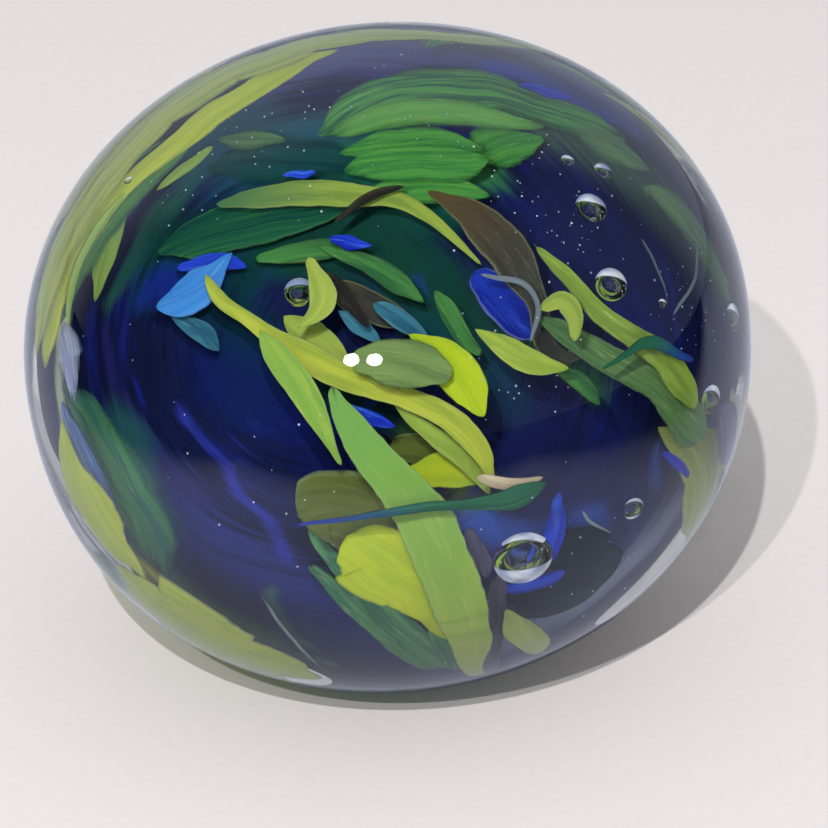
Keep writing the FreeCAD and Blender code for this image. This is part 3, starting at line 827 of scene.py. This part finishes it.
def add_dome(bm):
    up = Vector((0, 0, 1))
    top = bm.verts.new(CENTRE + up * dome_reach(up))
    bottom = bm.verts.new((CENTRE.x, CENTRE.y, 0))
    grid = [[bm.verts.new(p) for p in spoke] for spoke in dome_spokes()]
    for j, spoke in enumerate(grid):
        following = grid[(j + 1) % len(grid)]
        bm.faces.new((top, spoke[0], following[0]))
        for i in range(len(spoke) - 1):
            bm.faces.new((spoke[i], spoke[i + 1], following[i + 1], following[i]))
        bm.faces.new((spoke[-1], bottom, following[-1]))


def add_void(bm, centre, radii, segments=48):
    """A closed cavity whose faces look into the hollow, as a hole in glass does."""
    made = bmesh.ops.create_uvsphere(bm, u_segments=segments, v_segments=segments // 2, radius=1.0)
    verts = made["verts"]
    for v in verts:
        v.co = Vector(centre) + Vector((v.co.x * radii[0], v.co.y * radii[1], v.co.z * radii[2]))
    faces = list({f for v in verts for f in v.link_faces})
    bmesh.ops.reverse_faces(bm, faces=faces)
    for face in faces:
        face.material_index = 1


def make_casing():
    bm = bmesh.new()
    for centre, radius in bubble_places():
        add_void(bm, centre, (radius, radius, radius * BUBBLE_FLATNESS))
    add_dome(bm)
    mesh = bpy.data.meshes.new("clear_dome")
    bm.to_mesh(mesh)
    bm.free()
    mesh.materials.append(casing_glass("clear_glass", True))
    mesh.materials.append(casing_glass("bubble_glass", False))
    casing = new_piece("clear_dome", mesh, "clear_casing")
    mesh.set_sharp_from_angle(angle=math.radians(25))
    return casing


# Where the core is drawn in, or swells if the depth is negative: (towards, depth, sharpness). The depth is a
# share of the core's radius.
CORE_HOLLOWS = [
    (direction(-30, -66), 0.015, 2),
    (direction(70, -42), -0.015, 4),
    (direction(95, 5), 0.015, 4),
]


def ball_grid():
    """(unit directions, faces) of a finely divided ball."""
    elevation = np.linspace(0.5 * math.pi, -0.5 * math.pi, CORE_RINGS + 1)[1:-1, None]
    azimuth = np.arange(CORE_SPOKES)[None, :] * 2 * math.pi / CORE_SPOKES
    x = np.sin(azimuth) * np.cos(elevation)
    y = -np.cos(azimuth) * np.cos(elevation)
    z = np.sin(elevation) + 0 * azimuth
    units = np.vstack([[0, 0, 1], np.stack([x, y, z], axis=-1).reshape(-1, 3), [0, 0, -1]])
    last = len(units) - 1
    faces = []
    for j in range(CORE_SPOKES):
        k = (j + 1) % CORE_SPOKES
        faces.append((0, 1 + j, 1 + k))
        for row in range(1, last - CORE_SPOKES, CORE_SPOKES):
            faces.append((row + j, row + CORE_SPOKES + j, row + CORE_SPOKES + k, row + k))
        faces.append((last, last - CORE_SPOKES + k, last - CORE_SPOKES + j))
    return units, faces


def make_core():
    """The core, drawn in where the clear glass is thicker."""
    units, faces = ball_grid()
    swell = np.ones(len(units)) * CORE_SHARE
    swell += CORE_WAVES * np.sin(5 * units[:, 0] + 2) * np.sin(6 * units[:, 1] + 1) * np.sin(5 * units[:, 2])
    for toward, depth, power in CORE_HOLLOWS:
        swell -= depth * np.maximum(0.0, units @ np.array(toward)) ** power
    points = np.array(CENTRE) + units * SQUASH * CORE_RADIUS * swell[:, None]
    mesh = bpy.data.meshes.new("cobalt_core_glass")
    mesh.from_pydata(points.tolist(), [], faces)
    attribute = mesh.attributes.new("stain", "FLOAT_COLOR", "POINT")
    attribute.data.foreach_set("color", stain_and_painted_light_colours(units).astype(np.float32).reshape(-1))
    mesh.materials.append(cobalt_glass())
    return new_piece("cobalt_core_glass", mesh, "cobalt_core")


# Where fine seeds gather: (azimuth, elevation, spread in degrees, how many).
SEED_CLOUDS = [
    (48, 44, 16, 70),
    (68, 16, 14, 40),
    (-60, 58, 22, 44),
    (20, 64, 22, 26),
    (30, 20, 20, 34),
    (-30, 0, 34, 24),
    (40, -20, 26, 20),
    (-70, 40, 20, 16),
    (170, 30, 60, 40),
]


def make_seeds():
    draw = random.Random(5)
    bm = bmesh.new()
    for azimuth, elevation, spread, count in SEED_CLOUDS:
        for _ in range(count):
            unit = direction(
                azimuth + draw.gauss(0, 0.5) * spread / max(0.3, math.cos(math.radians(elevation))),
                elevation + draw.gauss(0, 0.5) * spread,
            )
            layer = draw.uniform(*SEED_LAYERS)
            size = draw.uniform(*SEED_RADII) * draw.uniform(0.7, 1.0)
            at = CENTRE + Vector((unit.x, unit.y, unit.z * INNER_FLATNESS)) * layer
            made = bmesh.ops.create_icosphere(bm, subdivisions=2, radius=size)
            bmesh.ops.translate(bm, verts=made["verts"], vec=at)
    mesh = bpy.data.meshes.new("fine_seeds")
    bm.to_mesh(mesh)
    bm.free()
    mesh.materials.append(painted_seed_glints())
    return new_piece("fine_seeds", mesh)


# Colours of each strand of glass: deep, body and pale tones, then what makes it different.
LIME = dict(deep="7C9840", body="A4B848", pale="BCC86C", edge="A8B884", painted_shade_side=0.25, flow=0.5)
GREEN = dict(deep="1C5038", body="4C9048", pale="78AC58", edge="5C8C5C")
STRAND_LOOKS = {
    "teal_wash": dict(deep="123A48", body="1E5050", pale="2E6C5C", feather=0.6, opacity=0.8),
    "green_fan_crest": dict(
        deep="1E5844", body="4C944C", pale="80B45C", edge="6C9C70", feather=0.35, fine=14.0, flow=0.9,
    ),
    "green_fan_band": dict(deep="4C9048", body="609C4C", pale="88B45C", feather=0.5, fine=12.0),
    "green_fan_skirt": dict(
        deep="2C7440", body="4C9444", pale="74AC54", edge="4C9050", feather=0.3, fine=14.0,
    ),
    "dark_green_leaf": dict(
        deep="10403C", body="1C5840", pale="3C7C44", edge="4C8450", painted_shade_side=-0.5, feather=0.1,
    ),
    "lime_leaf": dict(deep="6C8840", body="90A848", pale="A8B860", edge="A0B070", head="4C7850"),
    "small_green_leaves": dict(deep="1E5038", body="448044", pale="749C50", edge="6C9058", feather=0.2),
    "green_smears": dict(deep="3C6450", body="5C8858", pale="7C9C58", feather=0.5, opacity=0.85),
    "brown_threads": dict(deep="1C2026", body="2C2A28", pale="6C6040", feather=0.25, opacity=0.85),
    "sky_blue_chip": dict(deep="2464BC", body="4490D8", pale="84B8E8", edge="5C94D4", flow=0.4),
    "cobalt_flecks": dict(deep="141E98", body="2440C8", pale="5088E0", feather=0.2),
    "teal_chips": dict(deep="1C4C68", body="3C7890", pale="6CA4B0", edge="5C90A4"),
    "lime_stem": dict(LIME, body="B0BC48"),
    "lime_under_branch": dict(LIME, body="98B450"),
    "lime_down_branch": dict(LIME, body="90B450", deep="6CA048"),
    "lime_blade": dict(
        deep="74A44C", body="8CB048", pale="B0C464", edge="98B878", head="74A858", tail="A4B45C", flow=0.5,
    ),
    "yellow_pools": dict(deep="98B434", body="B4C834", pale="C4D04C", edge="94AC4C", flow=0.5),
    "olive_leaf": dict(deep="4C5C30", body="626F34", pale="7C8C50", edge="8C9C78", flow=0.5, opacity=0.9),
    "dark_green_threads": dict(deep="124838", body="1E6448", pale="3C8458", tail="28409C"),
    "grass_blades": dict(deep="2C6858", body="5C9C68", pale="94BC8C", feather=0.2),
    "lime_heart": dict(deep="94B428", body="B0C82C", pale="BCD048", edge="98B050", flow=0.5),
    "olive_oval": dict(deep="5C7848", body="789458", pale="90A86C", edge="3C5438", opacity=0.92),
    "lime_shards": dict(LIME, body="9CB050"),
    "smoky_ribbon": dict(
        deep="282C30", body="484A44", pale="707858", edge="98A474", head="5C5038", opacity=0.8,
    ),
    "bright_cobalt_blob": dict(deep="101C80", body="1C34A4", pale="3454CC", edge="8C9CD4"),
    "lime_hook": dict(LIME, body="A4BC4C"),
    "dark_teal_lens": dict(
        deep="081828", body="0C2236", pale="164048", edge="081420", feather=0.03, flow=0.5,
    ),
    "cobalt_flames": dict(deep="14289C", body="2444CC", pale="588CE0", feather=0.3),
    "smoky_column": dict(deep="3C3C54", body="54546C", pale="7C7C90", opacity=0.9),
    "lime_foot": dict(LIME, body="A8B868"),
    "cream_sliver": dict(deep="A89C80", body="D0C4A8", pale="E8E0CC"),
    "pale_threads": dict(deep="5C6C78", body="7C8C98", pale="A8B4B8", opacity=0.7),
    "lime_streamer": dict(deep="6C883C", body="8CAC48", pale="ACC464", edge="7C9458"),
    "green_streamer": dict(deep="3C6040", body="5C8450", pale="84A464", edge="6C8C64", feather=0.12),
    "lime_side_pool": dict(deep="788A48", body="98A850", pale="B0B868", edge="A4B080", flow=0.6),
    "pale_side_veil": dict(deep="8088A0", body="A8AC98", pale="BCC0A4", feather=0.3, opacity=0.8),
    "purple_lens": dict(deep="34345C", body="50507C", pale="7C7CA4", feather=0.3, opacity=0.8),
    "lime_rim_band": dict(
        deep="90A440", body="B0C03C", pale="C8CC60", edge="949C70", feather=0.15, flow=0.6,
    ),
    "outer_rim_band": dict(
        deep="7C9048", body="A4B450", pale="C0C864", edge="94A068", feather=0.2, flow=0.7,
    ),
    "green_rim_band": dict(
        deep="2C6458", body="549050", pale="8CB864", edge="4C7864", flow=0.8, feather=0.3,
    ),
    "lime_rim_slivers": dict(LIME, body="88B058"),
    # Painted light: a pale lilac patch of refracted light at the left edge, drawn as a strand of glass.
    "lilac_cluster": dict(deep="7C8CB8", body="A8B4D4", pale="D8E0EC", feather=0.6, opacity=0.9),
    "green_side_veil": dict(deep="2C5C60", body="4C885C", pale="689C68", feather=0.45, painted_shade_side=0.4),
    "pale_blue_lens": dict(deep="3C5C98", body="6C8CBC", pale="98B4D4", edge="3C5068"),
    "lime_lower_band": dict(
        deep="98AC40", body="B0C04C", pale="C4CC68", edge="ACB880", feather=0.12, flow=0.5,
    ),
    "amber_patch": dict(deep="6C7428", body="94943C", pale="B0A850", feather=0.4),
    # Back and underside.
    "lime_back_sweep": dict(LIME, feather=0.2),
    "green_back_sweep": dict(GREEN, feather=0.3),
    "green_back_fan": dict(GREEN, feather=0.3, fine=12.0),
    "teal_back_veil": dict(deep="143848", body="205458", pale="38746C", feather=0.5),
    "sky_blue_back_swirl": dict(deep="1C4CA8", body="3C78C8", pale="78ACE0", feather=0.2),
    "lime_back_streamers": dict(LIME),
    "underside_swirl": dict(GREEN, feather=0.3),
}

# How many times as wide as its CAD strand a strand is drawn. The others have DEFAULT_SPREAD.
SPREADS = {
    "green_fan_crest": 1.45,
    "green_fan_band": 1.6,
    "green_fan_skirt": 2.0,
    "green_smears": 1.3,
    "teal_wash": 1.4,
    "dark_green_leaf": 1.3,
    "lime_rim_band": 0.9,
    "outer_rim_band": 1.0,
    "green_rim_band": 1.9,
    "green_side_veil": 1.35,
    "lime_lower_band": 1.35,
    "amber_patch": 1.4,
    "lilac_cluster": 1.5,
    "lime_side_pool": 1.35,
    "pale_side_veil": 1.3,
    "purple_lens": 1.3,
    "green_streamer": 1.3,
    "lime_streamer": 1.2,
    "yellow_pools": 1.2,
    "olive_leaf": 1.2,
    "grass_blades": 1.25,
    "smoky_ribbon": 1.1,
    "pale_threads": 0.5,
}

# Pools of glass with round ends. The other strands thin out to a point.
ROUND_ENDED = {"dark_teal_lens", "olive_leaf", "yellow_pools", "olive_oval", "bright_cobalt_blob"}


def make_coloured_glass():
    for entry in frame["record"]["subparts"]:
        node = entry["node"]
        if node in STRAND_LOOKS:
            material = strand_glass(node + "_tone", **STRAND_LOOKS[node])
            make_strands(node, material)


# ---------------------------------------------------------------- studio


def make_floor():
    bm = bmesh.new()
    bmesh.ops.create_grid(bm, x_segments=2, y_segments=2, size=FLOOR_HALF_WIDTH)
    mesh = bpy.data.meshes.new("floor")
    bm.to_mesh(mesh)
    bm.free()
    floor = bpy.data.objects.new("floor", mesh)
    floor.location.z = -FLOOR_DROP
    bpy.context.scene.collection.objects.link(floor)
    mesh.materials.append(paper_floor())


def make_lamp(name, azimuth, elevation, power):
    """A small lamp for light and shadow."""
    data = bpy.data.lights.new(name, "POINT")
    data.energy = power
    data.shadow_soft_size = LAMP_RADIUS
    data.color = LAMP_COLOUR
    lamp = bpy.data.objects.new(name, data)
    lamp.location = CENTRE + direction(azimuth, elevation) * LAMP_DISTANCE
    lamp.visible_glossy = False
    lamp.visible_transmission = False
    bpy.context.scene.collection.objects.link(lamp)


def make_spot(name, azimuth, elevation):
    """A bright disc that only the glass mirrors."""
    bm = bmesh.new()
    bmesh.ops.create_circle(bm, cap_ends=True, segments=32, radius=SPOT_RADIUS)
    mesh = bpy.data.meshes.new(name)
    bm.to_mesh(mesh)
    bm.free()
    disc = bpy.data.objects.new(name, mesh)
    disc.location = CENTRE + direction(azimuth, elevation) * LAMP_DISTANCE
    disc.rotation_euler = direction(azimuth, elevation).to_track_quat("Z", "Y").to_euler()
    g = material_graph(name + "_glow")
    mesh.materials.append(g.finish(g.add("ShaderNodeEmission", Strength=SPOT_STRENGTH).outputs[0]))
    disc.visible_diffuse = False
    disc.visible_shadow = False
    disc.visible_camera = False
    bpy.context.scene.collection.objects.link(disc)


def make_world():
    """Soft light from all round. In the dome's mirror only the pale wall behind it shows."""
    world = bpy.data.worlds.new("room")
    bpy.context.scene.world = world
    g = Graph(world)
    x, y, z = g.split(g.add("ShaderNodeTexCoord").outputs["Generated"])
    sides = g.math("MULTIPLY", g.band(x, 0.1, 1.0), 0.35)
    wall = g.math("MAXIMUM", g.band(y, 0.25, 0.65), sides)
    wall = g.math("MULTIPLY", wall, g.math("SUBTRACT", 1.0, g.band(z, 0.78, 1.0)))
    seen = g.mix(wall, MIRRORED_DARK, MIRRORED_WALL)
    light = g.mix(reflected_only(g), ROOM_LIGHT, seen)
    g.finish(g.add("ShaderNodeBackground", Color=light).outputs[0], "ShaderNodeOutputWorld")


def make_camera():
    data = bpy.data.cameras.new("camera")
    data.sensor_width = SENSOR_MM
    data.lens = LENS_MM
    data.clip_start = NEAREST_SEEN
    camera = bpy.data.objects.new("camera", data)
    camera.location = CENTRE + CAMERA_FROM_CENTRE
    camera.rotation_euler = (math.radians(90.0) - VIEW_PITCH, 0, 0)
    bpy.context.scene.collection.objects.link(camera)
    bpy.context.scene.camera = camera


def main():
    bpy.context.scene.view_settings.view_transform = "Standard"
    bpy.context.scene.cycles.transparent_max_bounces = 32
    make_casing()
    make_core()
    make_coloured_glass()
    make_seeds()
    make_floor()
    make_world()
    for lamp in LAMPS:
        make_lamp(*lamp)
    for spot in SPOTS:
        make_spot(*spot)
    make_camera()


main()
